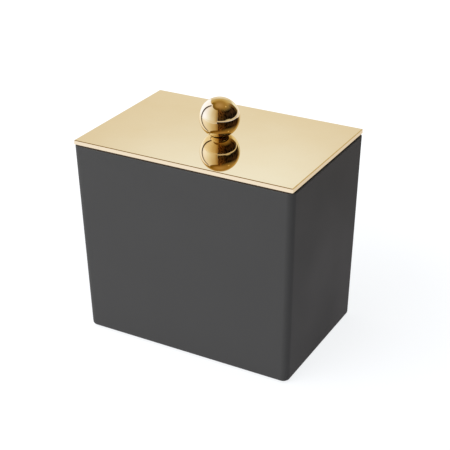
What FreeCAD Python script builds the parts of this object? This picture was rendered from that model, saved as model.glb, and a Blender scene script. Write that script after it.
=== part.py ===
import FreeCAD, Part
import math
import os

import Sketcher

# A lidded vanity box: a drafted cast resin tub and a flat metal lid with a ball knob.
# Millimetres, +Z up. The origin lies on the surface that the box stands on, under its centre.
# X runs along the long side, and the front face looks along -Y.

doc = FreeCAD.newDocument("VanityBox")

sizes = {
    # Tub
    "tubLength": 130.0,         # outside at the rim, along X
    "tubDepth": 88.0,           # outside at the rim, along Y
    "tubHeight": 111.8,         # underside to rim
    "draftAngle": 1.2,          # degrees that each wall leans outwards
    "tubCorner": 4.0,           # radius of the upright outside corners
    "wallThick": 4.6,
    "baseThick": 6.0,
    "mouthCorner": 5.0,         # radius of the upright inside corners
    "baseEdge": 2.0,            # rounding where the walls meet the underside
    "rimEdge": 0.5,             # rounding outside the rim
    "mouthEdge": 0.8,           # rounding inside the rim
    "floorEdge": 3.0,           # rounding where the walls meet the floor inside
    # Feet
    "footRadius": 5.0,
    "footThick": 1.8,
    "footRecess": 1.1,          # depth of the recess that a foot sits in
    "footClearance": 0.3,       # round each foot in its recess
    "footInset": 12.0,          # foot centre from the edges of the underside
    "footEdge": 0.5,
    # Lid plate
    "lidSetback": 0.6,          # lid edge inside the tub's outside face
    "lidThick": 2.5,
    "lidCorner": 0.6,
    "lidArris": 0.45,           # chamfer along the plate's edges
    # Gasket, on the flat of the rim
    "gasketThick": 0.5,
    "gasketInset": 0.4,         # inside the flat of the rim
    # Insert, in the mouth
    "insertClearance": 0.8,     # between insert and mouth
    "insertBase": 1.8,
    "skirtHeight": 7.0,
    "skirtThick": 1.8,
    "skirtEdge": 0.6,           # lead-in round the skirt's foot
    "pocketEdge": 1.0,          # rounding where the ribs meet boss and skirt
    "ribThick": 1.6,
    "ribDrop": 1.5,             # ribs end this far short of the skirt
    "bossRadius": 7.5,
    "adhesiveThick": 0.25,
    "adhesiveMargin": 4.0,      # film edge inside the insert's edge
    "adhesiveHole": 6.0,        # radius of the hole in the film
    "landClearance": 0.5,       # film to the land on the boss
    # Knob and its screw
    "knobRadius": 10.95,
    "knobSeat": 4.7,            # radius of the flat that stands on the plate
    "screwRadius": 2.0,
    "screwLength": 12.0,        # under the head
    "headRadius": 3.8,
    "headHeight": 2.2,
    "headRounding": 1.6,
    "screwPoint": 0.4,          # chamfer at the tip
    "socketAcross": 2.5,        # hexagon socket, across its flats
    "socketDepth": 1.3,
    "threadGap": 0.05,          # screw to tapped hole
    "holeClearance": 0.2,       # screw to plain holes
    "tappedDepth": 9.0,
    "washerRadius": 4.5,
    "washerThick": 0.8,
    "pocketClearance": 0.7,     # washer to the pocket in the boss
    "screwSeat": 2.6,           # boss left under the washer
}

sheet = doc.addObject("Spreadsheet::Sheet", "Sizes")
for row, (alias, size) in enumerate(sizes.items(), start=1):
    sheet.set(f"A{row}", alias)
    sheet.set(f"B{row}", str(size))
    sheet.setAlias(f"B{row}", alias)
doc.recompute()

# Two places closer than this are the same, in millimetres or as a share of an outline's size
samePlace = 0.01
sameShare = 0.002

# Sizes and heights that several pieces share, worked out from the sheet
tubLean = "(Sizes.tubHeight * tan(Sizes.draftAngle))"
baseLength = f"(Sizes.tubLength - 2 * {tubLean})"
baseDepth = f"(Sizes.tubDepth - 2 * {tubLean})"
mouthLength = "(Sizes.tubLength - 2 * Sizes.wallThick)"
mouthDepth = "(Sizes.tubDepth - 2 * Sizes.wallThick)"
cavityDepth = "(Sizes.tubHeight - Sizes.baseThick)"
cavityLean = f"({cavityDepth} * tan(Sizes.draftAngle))"
lidLength = "(Sizes.tubLength - 2 * Sizes.lidSetback)"
lidDepth = "(Sizes.tubDepth - 2 * Sizes.lidSetback)"
insertLength = f"({mouthLength} - 2 * Sizes.insertClearance)"
insertDepth = f"({mouthDepth} - 2 * Sizes.insertClearance)"
insertCorner = "(Sizes.mouthCorner - Sizes.insertClearance)"
insertHeight = "(Sizes.insertBase + Sizes.skirtHeight)"
insertLean = f"({insertHeight} * tan(Sizes.draftAngle))"
footX = f"({baseLength} / 2 - Sizes.footInset)"
footY = f"({baseDepth} / 2 - Sizes.footInset)"

tubBottom = "(Sizes.footThick - Sizes.footRecess)"
rimTop = f"({tubBottom} + Sizes.tubHeight)"
lidBottom = f"({rimTop} + Sizes.gasketThick)"
lidTop = f"({lidBottom} + Sizes.lidThick)"
insertTop = f"({lidBottom} - Sizes.adhesiveThick)"
washerTop = f"({insertTop} - Sizes.screwSeat)"
headTop = f"({washerTop} - Sizes.washerThick)"


def number(expression):
    """The value of an expression over the sheet, for a sketch's first guess."""
    return float(sheet.evalExpression(expression))


def addBody(name, height):
    """A sub-part whose own origin stands at the given height."""
    body = doc.addObject("PartDesign::Body", name)
    body.Label = name
    body.setExpression("Placement.Base.z", height)
    return body


def originFeature(body, role):
    return next(item for item in body.Origin.OriginFeatures if item.Role == role)


def addSketch(body, name, height="0", role="XY_Plane"):
    """A sketch parallel to one of the body's own planes."""
    sketch = body.newObject("Sketcher::SketchObject", name)
    sketch.AttachmentSupport = [(originFeature(body, role), "")]
    sketch.MapMode = "FlatFace"
    sketch.setExpression("AttachmentOffset.Base.z", height)
    return sketch


def bind(sketch, kind, where, expression):
    """A sketch dimension that follows an expression over the sheet."""
    index = sketch.addConstraint(Sketcher.Constraint(kind, *where, number(expression)))
    sketch.setExpression(f"Constraints[{index}]", expression)


def addLine(sketch, start, end):
    ends = [FreeCAD.Vector(x, y, 0) for x, y in (start, end)]
    return sketch.addGeometry(Part.LineSegment(*ends), False)


def addArc(sketch, centre, radius, start, end):
    """An arc from one angle to another, in degrees, anticlockwise."""
    circle = Part.Circle(FreeCAD.Vector(*centre, 0), FreeCAD.Vector(0, 0, 1), radius)
    angles = [math.radians(angle) for angle in (start, end)]
    return sketch.addGeometry(Part.ArcOfCircle(circle, *angles), False)


def joinEnds(sketch, pairs):
    """Ends of the first line or arc of each pair to the starts of the second."""
    for first, second in pairs:
        sketch.addConstraint(Sketcher.Constraint("Coincident", first, 2, second, 1))


def rectangle(sketch, length, depth):
    """A sharp rectangle about the sketch's origin."""
    a = number(length) / 2
    b = number(depth) / 2
    corners = [(-a, -b), (a, -b), (a, b), (-a, b)]
    sides = [addLine(sketch, *ends) for ends in zip(corners, corners[1:] + corners[:1])]
    front, right, back, left = sides
    joinEnds(sketch, zip(sides, sides[1:] + sides[:1]))
    for flat in (front, back):
        sketch.addConstraint(Sketcher.Constraint("Horizontal", flat))
    for upright in (right, left):
        sketch.addConstraint(Sketcher.Constraint("Vertical", upright))
    sketch.addConstraint(Sketcher.Constraint("Symmetric", front, 1, back, 1, -1, 1))
    bind(sketch, "DistanceX", (front, 1, front, 2), length)
    bind(sketch, "DistanceY", (right, 1, right, 2), depth)


def roundedRectangle(sketch, length, depth, corner):
    """A rectangle about the sketch's origin with four equal round corners."""
    a = number(length) / 2
    b = number(depth) / 2
    r = number(corner)
    front = addLine(sketch, (r - a, -b), (a - r, -b))
    rightFront = addArc(sketch, (a - r, r - b), r, -90, 0)
    right = addLine(sketch, (a, r - b), (a, b - r))
    rightBack = addArc(sketch, (a - r, b - r), r, 0, 90)
    back = addLine(sketch, (a - r, b), (r - a, b))
    leftBack = addArc(sketch, (r - a, b - r), r, 90, 180)
    left = addLine(sketch, (-a, b - r), (-a, r - b))
    leftFront = addArc(sketch, (r - a, r - b), r, 180, 270)
    loop = [front, rightFront, right, rightBack, back, leftBack, left, leftFront]
    for first, second in zip(loop, loop[1:] + loop[:1]):
        sketch.addConstraint(Sketcher.Constraint("Tangent", first, 2, second, 1))
    for flat in (front, back):
        sketch.addConstraint(Sketcher.Constraint("Horizontal", flat))
    for upright in (right, left):
        sketch.addConstraint(Sketcher.Constraint("Vertical", upright))
    for arc in (rightBack, leftBack, leftFront):
        sketch.addConstraint(Sketcher.Constraint("Equal", rightFront, arc))
    sketch.addConstraint(Sketcher.Constraint("Symmetric", rightFront, 3, leftBack, 3, -1, 1))
    bind(sketch, "DistanceX", (left, 1, right, 1), length)
    bind(sketch, "DistanceY", (front, 1, back, 1), depth)
    bind(sketch, "Radius", (rightFront,), corner)


def addCircle(sketch, radius, x="0", y="0"):
    """A circle whose radius and centre follow expressions."""
    centre = FreeCAD.Vector(number(x), number(y), 0)
    circle = sketch.addGeometry(Part.Circle(centre, FreeCAD.Vector(0, 0, 1), number(radius)), False)
    bind(sketch, "Radius", (circle,), radius)
    if (x, y) == ("0", "0"):
        sketch.addConstraint(Sketcher.Constraint("Coincident", circle, 3, -1, 1))
        return
    bind(sketch, "DistanceX", (-1, 1, circle, 3), x)
    bind(sketch, "DistanceY", (-1, 1, circle, 3), y)


def extrude(body, kind, name, sketch, length, flipped=False):
    """A Pad or a Pocket of a sketch, to a length that follows an expression."""
    feature = body.newObject(f"PartDesign::{kind}", name)
    feature.Profile = sketch
    feature.Reversed = flipped
    feature.setExpression("Length", length)
    sketch.Visibility = False
    doc.recompute()
    return feature


def mirrorAcross(body, name, feature):
    """Copies of a feature across both upright middle planes."""
    mirrors = []
    for side, role in (("Left", "YZ_Plane"), ("Front", "XZ_Plane")):
        mirror = body.newObject("PartDesign::Mirrored", f"{name}{side}")
        mirror.MirrorPlane = (originFeature(body, role), [""])
        mirrors.append(mirror)
    pattern = body.newObject("PartDesign::MultiTransform", name)
    pattern.Originals = [feature]
    pattern.Transformations = mirrors
    body.Tip = pattern
    doc.recompute()
    return pattern


def lean(body, name, feature, length, depth, outside):
    """The walls of a sharp rectangle, leaned so that it narrows downwards from the body's top plane."""
    a = number(length) / 2
    b = number(depth) / 2
    walls = []
    for index, face in enumerate(feature.Shape.Faces, start=1):
        box = face.BoundBox
        sideOn = box.XLength < samePlace and abs(abs(box.XMin) - a) < samePlace
        endOn = box.YLength < samePlace and abs(abs(box.YMin) - b) < samePlace
        if sideOn or endOn:
            walls.append(f"Face{index}")
    draft = body.newObject("PartDesign::Draft", name)
    draft.Base = (feature, walls)
    draft.NeutralPlane = (originFeature(body, "XY_Plane"), [""])
    draft.Reversed = outside
    draft.setExpression("Angle", "Sizes.draftAngle")
    doc.recompute()
    return draft


def cornerEdges(feature, length, depth, height):
    """Names of the four leaning corner edges that start at the corners of a rectangle."""
    a = number(length) / 2
    b = number(depth) / 2
    names = []
    for index, edge in enumerate(feature.Shape.Edges, start=1):
        ends = [vertex.Point for vertex in edge.Vertexes]
        top = max(ends, key=lambda point: point.z)
        atCorner = abs(abs(top.x) - a) < samePlace and abs(abs(top.y) - b) < samePlace
        if atCorner and abs(edge.BoundBox.ZLength - number(height)) < samePlace:
            names.append(f"Edge{index}")
    return names


def ringEdges(feature, height, length, depth):
    """Names of the edges at one height that lie on a rectangular outline."""
    names = []
    for index, edge in enumerate(feature.Shape.Edges, start=1):
        box = edge.BoundBox
        flat = abs(box.ZMin - height) < samePlace and abs(box.ZMax - height) < samePlace
        reach = max(max(abs(box.XMin), abs(box.XMax)) / length, max(abs(box.YMin), abs(box.YMax)) / depth)
        if flat and abs(reach - 0.5) < sameShare:
            names.append(f"Edge{index}")
    return names


def dress(body, kind, name, feature, edges, size):
    """A Fillet or a Chamfer on named edges of a feature."""
    result = body.newObject(f"PartDesign::{kind}", name)
    result.Base = (feature, edges)
    result.setExpression("Radius" if kind == "Fillet" else "Size", size)
    doc.recompute()
    return result


def makeTub():
    """Heights run down from the rim, where the outline has its full size."""
    tub = addBody("tub", rimTop)
    outline = addSketch(tub, "rimOutline")
    rectangle(outline, "Sizes.tubLength", "Sizes.tubDepth")
    block = extrude(tub, "Pad", "block", outline, "Sizes.tubHeight", flipped=True)
    leaning = lean(tub, "blockDraft", block, "Sizes.tubLength", "Sizes.tubDepth", outside=True)
    corners = cornerEdges(leaning, "Sizes.tubLength", "Sizes.tubDepth", "Sizes.tubHeight")
    rounded = dress(tub, "Fillet", "blockCorners", leaning, corners, "Sizes.tubCorner")

    # The cavity leans with the walls, so the wall is even from floor to rim.
    mouth = addSketch(tub, "mouthOutline")
    rectangle(mouth, mouthLength, mouthDepth)
    cavity = extrude(tub, "Pocket", "cavity", mouth, cavityDepth)
    if cavity.Shape.Volume >= rounded.Shape.Volume:
        raise RuntimeError("the cavity cuts nothing")
    hollow = lean(tub, "cavityDraft", cavity, mouthLength, mouthDepth, outside=False)
    inner = cornerEdges(hollow, mouthLength, mouthDepth, cavityDepth)
    smooth = dress(tub, "Fillet", "cavityCorners", hollow, inner, "Sizes.mouthCorner")

    recess = addSketch(tub, "footOutline", "-Sizes.tubHeight")
    addCircle(recess, "Sizes.footRadius + Sizes.footClearance", footX, footY)
    extrude(tub, "Pocket", "footRecess", recess, "Sizes.footRecess", flipped=True)
    shape = mirrorAcross(tub, "footRecesses", tub.Tip)

    floorHeight = -number(cavityDepth)
    floor = (number(mouthLength) - 2 * number(cavityLean), number(mouthDepth) - 2 * number(cavityLean))
    outside = (number("Sizes.tubLength"), number("Sizes.tubDepth"))
    for name, height, edges, size in (
        ("undersideRounding", -number("Sizes.tubHeight"), (number(baseLength), number(baseDepth)), "baseEdge"),
        ("floorRounding", floorHeight, floor, "floorEdge"),
        ("rimRounding", 0, outside, "rimEdge"),
        ("mouthRounding", 0, (number(mouthLength), number(mouthDepth)), "mouthEdge"),
    ):
        shape = dress(tub, "Fillet", name, shape, ringEdges(shape, height, *edges), f"Sizes.{size}")
    return tub


def circlesAt(feature, height):
    """Names of the edges that lie flat at one height."""
    edges = enumerate(feature.Shape.Edges, start=1)
    return [f"Edge{index}" for index, edge in edges
            if abs(edge.BoundBox.ZMin - height) < samePlace and abs(edge.BoundBox.ZMax - height) < samePlace]


def hexagon(sketch, radius):
    """A hexagon on a circle about the sketch's origin, with its lowest side level."""
    r = number(radius)
    ring = sketch.addGeometry(Part.Circle(FreeCAD.Vector(), FreeCAD.Vector(0, 0, 1), r), True)
    turns = [FreeCAD.Rotation(FreeCAD.Vector(0, 0, 1), 240 + 60 * side) for side in range(7)]
    corners = [turn.multVec(FreeCAD.Vector(r, 0, 0)) for turn in turns]
    sides = [sketch.addGeometry(Part.LineSegment(start, end), False)
             for start, end in zip(corners, corners[1:])]
    joinEnds(sketch, zip(sides, sides[1:] + sides[:1]))
    for side in sides:
        sketch.addConstraint(Sketcher.Constraint("PointOnObject", side, 1, ring))
    for side in sides[1:]:
        sketch.addConstraint(Sketcher.Constraint("Equal", sides[0], side))
    sketch.addConstraint(Sketcher.Constraint("Horizontal", sides[0]))
    sketch.addConstraint(Sketcher.Constraint("Coincident", ring, 3, -1, 1))
    bind(sketch, "Radius", (ring,), radius)


def makeFoot(name, x, y):
    foot = addBody(name, "0")
    foot.setExpression("Placement.Base.x", x)
    foot.setExpression("Placement.Base.y", y)
    outline = addSketch(foot, f"{name}Outline")
    addCircle(outline, "Sizes.footRadius")
    disc = extrude(foot, "Pad", f"{name}Disc", outline, "Sizes.footThick")
    dress(foot, "Fillet", f"{name}Edge", disc, circlesAt(disc, 0), "Sizes.footEdge")
    return foot


def makeLidPlate():
    plate = addBody("lid_plate", lidBottom)
    outline = addSketch(plate, "plateOutline")
    roundedRectangle(outline, lidLength, lidDepth, "Sizes.lidCorner")
    blank = extrude(plate, "Pad", "plateBlank", outline, "Sizes.lidThick")
    hole = addSketch(plate, "plateHole")
    addCircle(hole, "Sizes.screwRadius + Sizes.holeClearance")
    drilled = extrude(plate, "Pocket", "plateDrilled", hole, "Sizes.lidThick", flipped=True)
    outside = (number(lidLength), number(lidDepth))
    arrises = ringEdges(drilled, 0, *outside) + ringEdges(drilled, blank.Length.Value, *outside)
    dress(plate, "Chamfer", "plateArris", drilled, arrises, "Sizes.lidArris")
    return plate


def makeLidGasket():
    gasket = addBody("lid_gasket", rimTop)
    outer = "(Sizes.rimEdge + Sizes.gasketInset)"
    inner = "(Sizes.mouthEdge + Sizes.gasketInset)"
    ring = addSketch(gasket, "gasketOutline")
    roundedRectangle(ring, f"Sizes.tubLength - 2 * {outer}", f"Sizes.tubDepth - 2 * {outer}",
                     f"Sizes.tubCorner - {outer}")
    roundedRectangle(ring, f"{mouthLength} + 2 * {inner}", f"{mouthDepth} + 2 * {inner}",
                     f"Sizes.mouthCorner + {inner}")
    extrude(gasket, "Pad", "gasketRing", ring, "Sizes.gasketThick")
    return gasket


def makeLidInsert():
    """The tray under the plate: heights run down from its top face."""
    insert = addBody("lid_insert", insertTop)
    outline = addSketch(insert, "insertOutline")
    rectangle(outline, insertLength, insertDepth)
    block = extrude(insert, "Pad", "insertBlock", outline, insertHeight, flipped=True)
    leaning = lean(insert, "insertDraft", block, insertLength, insertDepth, outside=True)
    corners = cornerEdges(leaning, insertLength, insertDepth, insertHeight)
    dress(insert, "Fillet", "insertCorners", leaning, corners, insertCorner)

    # Inside of the skirt: a shallow step that the ribs stop at, then four pockets between the ribs.
    innerLength = f"({insertLength} - 2 * ({insertLean} + Sizes.skirtThick))"
    innerDepth = f"({insertDepth} - 2 * ({insertLean} + Sizes.skirtThick))"
    innerCorner = f"({insertCorner} - Sizes.skirtThick)"
    step = addSketch(insert, "ribStepOutline", f"-{insertHeight}")
    roundedRectangle(step, innerLength, innerDepth, innerCorner)
    extrude(insert, "Pocket", "ribStep", step, "Sizes.ribDrop", flipped=True)

    web = "(Sizes.ribThick / 2)"
    pocket = addSketch(insert, "pocketOutline", f"-{insertHeight}")
    bossPocket(pocket, f"({innerLength} / 2)", f"({innerDepth} / 2)", innerCorner, web)
    quarter = extrude(insert, "Pocket", "pocketQuarter", pocket, "Sizes.skirtHeight", flipped=True)
    mirrorAcross(insert, "pockets", quarter)

    # A land on top of the boss fills the hole in the film, so the screw pulls solid on solid.
    land = addSketch(insert, "landOutline")
    addCircle(land, "Sizes.adhesiveHole - Sizes.landClearance")
    extrude(insert, "Pad", "bossLand", land, "Sizes.adhesiveThick")

    # Screw hole, counterbored from below for the washer and the head.
    bore = addSketch(insert, "screwHoleCentre", f"-({insertHeight} - Sizes.ribDrop)")
    addCircle(bore, "Sizes.screwRadius + Sizes.holeClearance")
    hole = insert.newObject("PartDesign::Hole", "screwHole")
    hole.Profile = bore
    doc.recompute()
    hole.Reversed = True
    hole.DepthType = "ThroughAll"
    hole.HoleCutType = "Counterbore"
    hole.setExpression("Diameter", "2 * (Sizes.screwRadius + Sizes.holeClearance)")
    hole.setExpression("HoleCutDiameter", "2 * (Sizes.washerRadius + Sizes.pocketClearance)")
    hole.setExpression("HoleCutDepth", f"{insertHeight} - Sizes.ribDrop - Sizes.screwSeat")
    doc.recompute()

    foot = [number(f"{size} - 2 * {insertLean}") for size in (insertLength, insertDepth)]
    rim = ringEdges(hole, -number(insertHeight), *foot)
    skirt = dress(insert, "Fillet", "skirtLeadIn", hole, rim, "Sizes.skirtEdge")
    dress(insert, "Fillet", "pocketRounding", skirt, ribCorners(skirt, number(web)), "Sizes.pocketEdge")
    return insert


def ribCorners(feature, web):
    """Names of the upright edges where a rib's face ends."""
    names = []
    for index, edge in enumerate(feature.Shape.Edges, start=1):
        box = edge.BoundBox
        upright = box.ZLength > 1 and box.XLength < samePlace and box.YLength < samePlace
        if upright and min(abs(abs(box.Center.x) - web), abs(abs(box.Center.y) - web)) < samePlace:
            names.append(f"Edge{index}")
    return names


def bossPocket(sketch, length, depth, corner, web):
    """A quarter of the tray between two ribs, with the round boss left standing at its inner corner."""
    x = number(length)
    y = number(depth)
    r = number(corner)
    w = number(web)
    boss = number("Sizes.bossRadius")
    tip = (boss ** 2 - w ** 2) ** 0.5
    lower = addLine(sketch, (tip, w), (x, w))
    right = addLine(sketch, (x, w), (x, y - r))
    bend = addArc(sketch, (x - r, y - r), r, 0, 90)
    upper = addLine(sketch, (x - r, y), (w, y))
    left = addLine(sketch, (w, y), (w, tip))
    rise = math.degrees(math.asin(w / boss))
    inner = addArc(sketch, (0, 0), boss, rise, 90 - rise)
    joinEnds(sketch, ((lower, right), (upper, left)))
    sketch.addConstraint(Sketcher.Constraint("Tangent", right, 2, bend, 1))
    sketch.addConstraint(Sketcher.Constraint("Tangent", bend, 2, upper, 1))
    sketch.addConstraint(Sketcher.Constraint("Coincident", inner, 1, lower, 1))
    sketch.addConstraint(Sketcher.Constraint("Coincident", inner, 2, left, 2))
    sketch.addConstraint(Sketcher.Constraint("Coincident", inner, 3, -1, 1))
    for flat in (lower, upper):
        sketch.addConstraint(Sketcher.Constraint("Horizontal", flat))
    for upright in (right, left):
        sketch.addConstraint(Sketcher.Constraint("Vertical", upright))
    bind(sketch, "Radius", (inner,), "Sizes.bossRadius")
    bind(sketch, "Radius", (bend,), corner)
    bind(sketch, "DistanceY", (-1, 1, lower, 1), web)
    bind(sketch, "DistanceX", (-1, 1, left, 1), web)
    bind(sketch, "DistanceX", (-1, 1, right, 1), length)
    bind(sketch, "DistanceY", (-1, 1, upper, 1), depth)


def makeLidAdhesive():
    film = addBody("lid_adhesive", insertTop)
    outline = addSketch(film, "filmOutline")
    roundedRectangle(outline, f"{insertLength} - 2 * Sizes.adhesiveMargin",
                     f"{insertDepth} - 2 * Sizes.adhesiveMargin", "Sizes.adhesiveMargin")
    addCircle(outline, "Sizes.adhesiveHole")
    extrude(film, "Pad", "film", outline, "Sizes.adhesiveThick")
    return film


def makeKnob():
    """A ball with a small flat to stand on, tapped from below."""
    knob = addBody("knob", lidTop)
    radius = number("Sizes.knobRadius")
    seat = number("Sizes.knobSeat")
    rise = (radius ** 2 - seat ** 2) ** 0.5
    profile = addSketch(knob, "ballProfile", role="XZ_Plane")
    tilt = -math.degrees(math.acos(seat / radius))
    flat = addLine(profile, (0, 0), (seat, 0))
    ball = addArc(profile, (0, rise), radius, tilt, 90)
    axis = addLine(profile, (0, rise + radius), (0, 0))
    joinEnds(profile, ((flat, ball), (ball, axis), (axis, flat)))
    profile.addConstraint(Sketcher.Constraint("Coincident", flat, 1, -1, 1))
    profile.addConstraint(Sketcher.Constraint("Horizontal", flat))
    profile.addConstraint(Sketcher.Constraint("Vertical", axis))
    profile.addConstraint(Sketcher.Constraint("PointOnObject", ball, 3, -2))
    bind(profile, "Radius", (ball,), "Sizes.knobRadius")
    bind(profile, "DistanceX", (flat, 1, flat, 2), "Sizes.knobSeat")
    turned = revolve(knob, "ball", profile)

    bore = addSketch(knob, "tappedHoleCentre")
    addCircle(bore, "Sizes.screwRadius + Sizes.threadGap")
    hole = knob.newObject("PartDesign::Hole", "tappedHole")
    hole.Profile = bore
    doc.recompute()
    hole.Reversed = True
    hole.DepthType = "Dimension"
    hole.DrillPoint = "Angled"
    hole.setExpression("Diameter", "2 * (Sizes.screwRadius + Sizes.threadGap)")
    hole.setExpression("Depth", "Sizes.tappedDepth")
    doc.recompute()
    return knob


def revolve(body, name, profile):
    """A full turn about the body's upright axis."""
    feature = body.newObject("PartDesign::Revolution", name)
    feature.Profile = profile
    feature.ReferenceAxis = (originFeature(body, "Z_Axis"), [""])
    feature.Angle = 360
    doc.recompute()
    return feature


def makeKnobScrew():
    """A button head screw that stands on its head: heights run from the seat of the head."""
    screw = addBody("knob_screw", headTop)
    headOutline = addSketch(screw, "headOutline")
    addCircle(headOutline, "Sizes.headRadius")
    head = extrude(screw, "Pad", "screwHead", headOutline, "Sizes.headHeight", flipped=True)
    crown = circlesAt(head, -number("Sizes.headHeight"))
    dress(screw, "Fillet", "headCrown", head, crown, "Sizes.headRounding")

    shankOutline = addSketch(screw, "shankOutline")
    addCircle(shankOutline, "Sizes.screwRadius")
    shank = extrude(screw, "Pad", "screwShank", shankOutline, "Sizes.screwLength")
    tip = circlesAt(shank, number("Sizes.screwLength"))
    dress(screw, "Chamfer", "screwTip", shank, tip, "Sizes.screwPoint")

    socket = addSketch(screw, "socketOutline", "-Sizes.headHeight")
    hexagon(socket, "Sizes.socketAcross / 2 / cos(30)")
    extrude(screw, "Pocket", "screwSocket", socket, "Sizes.socketDepth", flipped=True)
    return screw


def makeKnobWasher():
    washer = addBody("knob_washer", headTop)
    ring = addSketch(washer, "washerOutline")
    addCircle(ring, "Sizes.washerRadius")
    addCircle(ring, "Sizes.screwRadius + Sizes.holeClearance")
    extrude(washer, "Pad", "washerRing", ring, "Sizes.washerThick")
    return washer


subparts = [
    makeTub(),
    makeFoot("foot_front_left", f"-{footX}", f"-{footY}"),
    makeFoot("foot_front_right", footX, f"-{footY}"),
    makeFoot("foot_back_left", f"-{footX}", footY),
    makeFoot("foot_back_right", footX, footY),
    makeLidPlate(),
    makeLidGasket(),
    makeLidInsert(),
    makeLidAdhesive(),
    makeKnob(),
    makeKnobWasher(),
    makeKnobScrew(),
]
doc.recompute()

for item in doc.Objects:
    if {"Invalid", "Error"} & set(item.State):
        raise RuntimeError(f"{item.Label} did not build: {item.State}")
for part in subparts:
    if part.Shape.isNull() or not part.Shape.isValid():
        raise RuntimeError(f"{part.Label} is not a sound solid")

os.makedirs("parts", exist_ok=True)
for part in subparts:
    part.Shape.exportStep(f"parts/{part.Label}.step")
    print(f"{part.Label}: {part.Shape.Volume:.0f} mm3")
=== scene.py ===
from math import cos, pi, radians, sin, sqrt

import bmesh
import bpy
from mathutils import Matrix, Vector


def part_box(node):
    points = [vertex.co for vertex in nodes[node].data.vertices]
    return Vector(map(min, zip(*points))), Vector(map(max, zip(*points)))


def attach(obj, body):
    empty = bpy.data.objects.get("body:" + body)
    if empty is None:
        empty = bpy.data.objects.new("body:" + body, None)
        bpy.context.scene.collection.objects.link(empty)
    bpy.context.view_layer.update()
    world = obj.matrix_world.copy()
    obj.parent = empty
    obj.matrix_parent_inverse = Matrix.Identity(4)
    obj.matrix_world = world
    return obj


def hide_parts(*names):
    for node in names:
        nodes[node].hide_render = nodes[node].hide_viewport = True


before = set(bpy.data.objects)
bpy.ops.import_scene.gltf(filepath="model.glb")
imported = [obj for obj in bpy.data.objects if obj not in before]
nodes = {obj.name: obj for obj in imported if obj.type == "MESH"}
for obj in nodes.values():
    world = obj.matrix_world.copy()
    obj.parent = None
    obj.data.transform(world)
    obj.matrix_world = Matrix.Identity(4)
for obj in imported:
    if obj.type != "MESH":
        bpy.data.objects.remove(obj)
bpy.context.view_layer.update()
mm = 0.001
weld = 0.001 * mm  # points nearer than this are merged
print("frame loaded:", len(nodes), "CAD nodes")


def linear(code):
    # sRGB hex to the linear values that the shaders take
    parts = [int(code[i:i + 2], 16) / 255 for i in (1, 3, 5)]
    return tuple(p / 12.92 if p <= 0.04045 else ((p + 0.055) / 1.055) ** 2.4 for p in parts) + (1,)


def addNode(tree, kind, inputs=None, **settings):
    # one node with its settings; an input is a value, a socket, or a node, whose first output
    # is meant
    node = tree.nodes.new(kind)
    for name, value in settings.items():
        setattr(node, name, value)
    for key, value in (inputs or {}).items():
        if isinstance(value, bpy.types.Node):
            value = value.outputs[0]
        if isinstance(value, bpy.types.NodeSocket):
            tree.links.new(value, node.inputs[key])
        else:
            node.inputs[key].default_value = value
    return node


def newMaterial(name):
    material = bpy.data.materials.new(name)
    material.use_nodes = True
    material.node_tree.nodes.clear()
    return material, material.node_tree


def newObject(name, mesh):
    piece = bpy.data.objects.new(name, mesh)
    bpy.context.scene.collection.objects.link(piece)
    return piece


def bakeModifiers(piece):
    # the evaluated result becomes the piece's own plain mesh
    bpy.context.view_layer.update()
    live = piece.evaluated_get(bpy.context.evaluated_depsgraph_get())
    result = bpy.data.meshes.new_from_object(live)
    piece.modifiers.clear()
    piece.data = result
    result.name = piece.name
    return piece


def weighNormals(piece):
    # large flat faces keep their own normal right up to the small radii beside them
    modifier = piece.modifiers.new("weightedNormals", "WEIGHTED_NORMAL")
    modifier.keep_sharp = True
    return bakeModifiers(piece)


def growPiece(name, tree, values):
    # runs a geometry tree with the given named inputs and keeps its plain mesh
    piece = newObject(name, bpy.data.meshes.new(name + "Seed"))
    modifier = piece.modifiers.new("tree", "NODES")
    modifier.node_group = tree
    for item in tree.interface.items_tree:
        if item.in_out == "INPUT" and item.name in values:
            modifier[item.identifier] = values[item.name]
    return bakeModifiers(piece)


def turnRings(rows, columns, sharpAngle=radians(35)):
    # a closed skin from rings (straightX, straightY, radius, z): rounded rectangles, or circles
    # where both straights are 0
    shell = bmesh.new()
    perCorner = columns // 4
    rings = []
    for straightX, straightY, radius, z in rows:
        if radius == 0 and straightX == 0:
            rings.append([shell.verts.new((0, 0, z))] * columns)
            continue
        ring = []
        for corner in range(4):
            middle = radians(45 + 90 * corner)
            for step in range(perCorner):
                span = perCorner - 1 if straightX or straightY else perCorner
                angle = radians(90 * corner) + radians(90) * step / span
                x = straightX * (1 if cos(middle) > 0 else -1) + radius * cos(angle)
                y = straightY * (1 if sin(middle) > 0 else -1) + radius * sin(angle)
                ring.append(shell.verts.new((x, y, z)))
        rings.append(ring)
    for lower, upper in zip(rings, rings[1:]):
        for i in range(columns):
            j = (i + 1) % columns
            face = []
            for vert in (lower[i], lower[j], upper[j], upper[i]):
                if vert not in face:
                    face.append(vert)
            if len(face) > 2:
                shell.faces.new(face)
    bmesh.ops.remove_doubles(shell, verts=shell.verts, dist=weld)
    bmesh.ops.recalc_face_normals(shell, faces=shell.faces)
    for face in shell.faces:
        face.smooth = True
    for edge in shell.edges:
        edge.smooth = edge.calc_face_angle(0) < sharpAngle
    return shell


def ringPiece(name, shell, material):
    mesh = bpy.data.meshes.new(name)
    shell.to_mesh(mesh)
    shell.free()
    mesh.materials.append(material)
    return newObject(name, mesh)


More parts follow.
